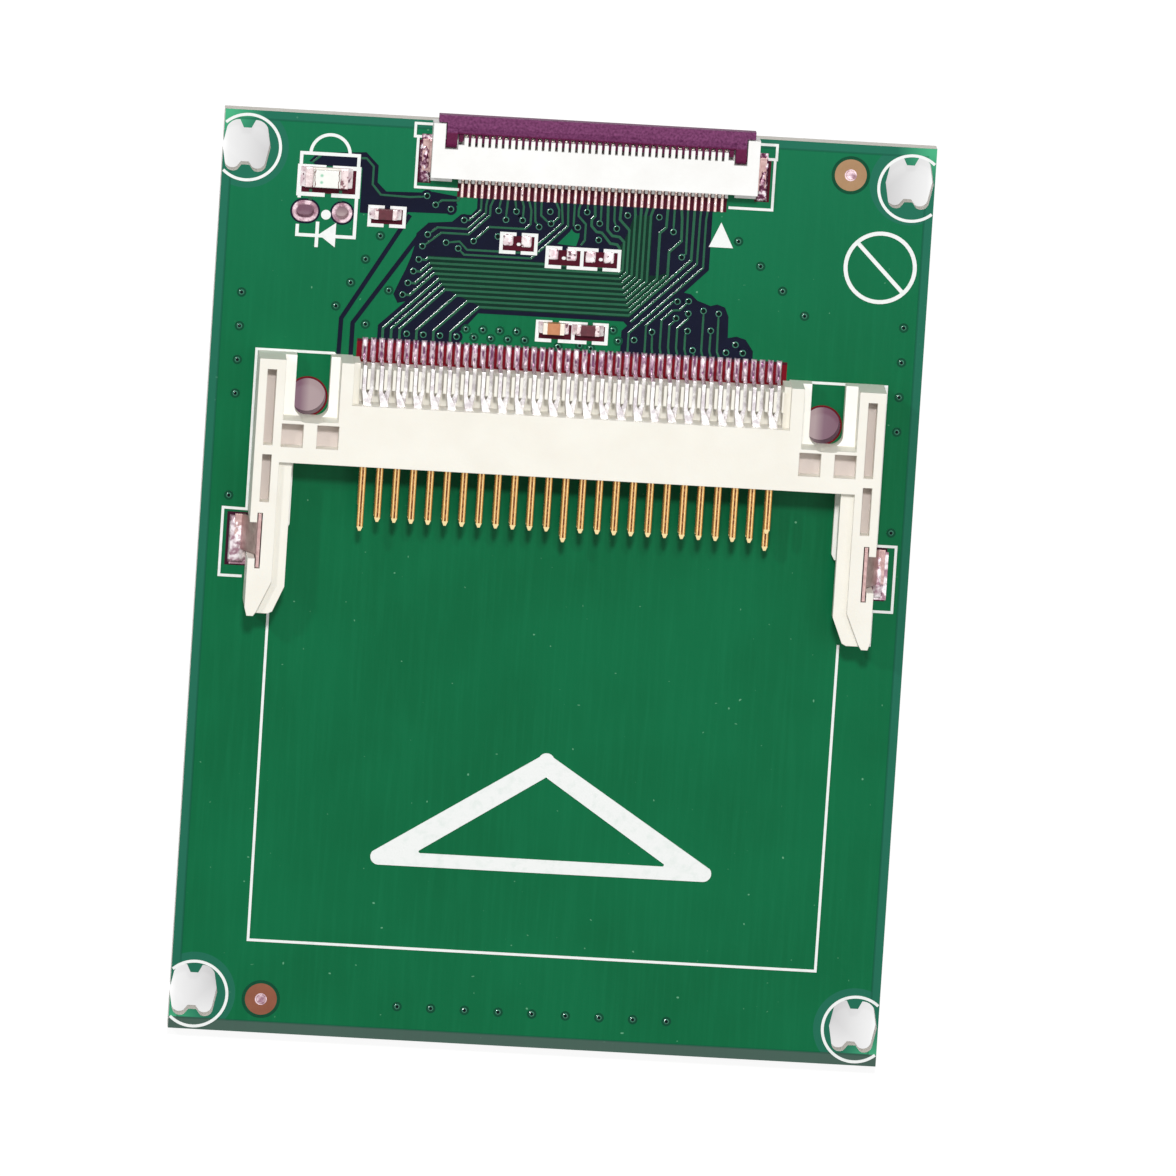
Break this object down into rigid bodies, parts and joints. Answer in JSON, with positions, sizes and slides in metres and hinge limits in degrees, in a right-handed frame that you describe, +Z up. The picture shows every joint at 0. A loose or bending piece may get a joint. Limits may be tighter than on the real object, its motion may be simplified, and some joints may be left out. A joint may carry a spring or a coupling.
{
  "type": "memory card to ribbon cable adapter board",
  "caption": "Flat green circuit board that joins a pin header for a memory card, held between two guide arms, to a flip-lock ribbon connector at its edge.",
  "frame": {"origin": "centre of the board's underside", "axes": "+X across the board, +Y along it towards the ribbon connector's edge, +Z up out of the component side"},
  "size_m": [0.0534, 0.0708, 0.0058],
  "materials": {
    "solder_mask_board": "satin green solder mask over glass-fibre laminate",
    "cream_moulding": "cream moulded thermoplastic, matt",
    "white_moulding": "white moulded thermoplastic, matt",
    "dark_latch": "dark purple-brown nylon, satin",
    "gold_contact": "gold flash on phosphor bronze",
    "tinned_contact": "tin plated bronze strip",
    "solder": "bright tin solder",
    "led_ceramic": "white reflector base",
    "led_clear": "clear cast epoxy",
    "resistor_black": "dark glazed film on ceramic",
    "capacitor_tan": "tan fired ceramic"
  },
  "bodies": {
    "board": {"circuit_board": "solder_mask_board", "card_connector_housing": "cream_moulding", "card_signal_contacts_upper": "gold_contact", "card_signal_contacts_lower": "gold_contact", "card_power_contacts": "gold_contact", "card_detect_contacts": "gold_contact", "card_hold_down_left": "tinned_contact", "card_hold_down_right": "tinned_contact", "ribbon_connector_housing": "white_moulding", "ribbon_contacts": "tinned_contact", "ribbon_hold_down_left": "tinned_contact", "ribbon_hold_down_right": "tinned_contact", "hold_down_solder": "solder", "chip_solder_joints": "solder", "led_base": "led_ceramic", "led_terminals": "solder", "led_lens": "led_clear", "led_resistor_body": "resistor_black", "led_resistor_ends": "solder", "signal_resistor_body": "resistor_black", "signal_resistor_ends": "solder", "capacitor_body": "capacitor_tan", "capacitor_ends": "solder"},
    "latch": {"ribbon_latch": "dark_latch"}
  },
  "joints": [
    {"name": "latch_hinge", "type": "hinge", "parent": "board", "child": "latch", "pos_m": [0.0011, 0.03366, 0.0032], "axis": [1, 0, 0], "range_deg": [0, 90]}
  ]
}
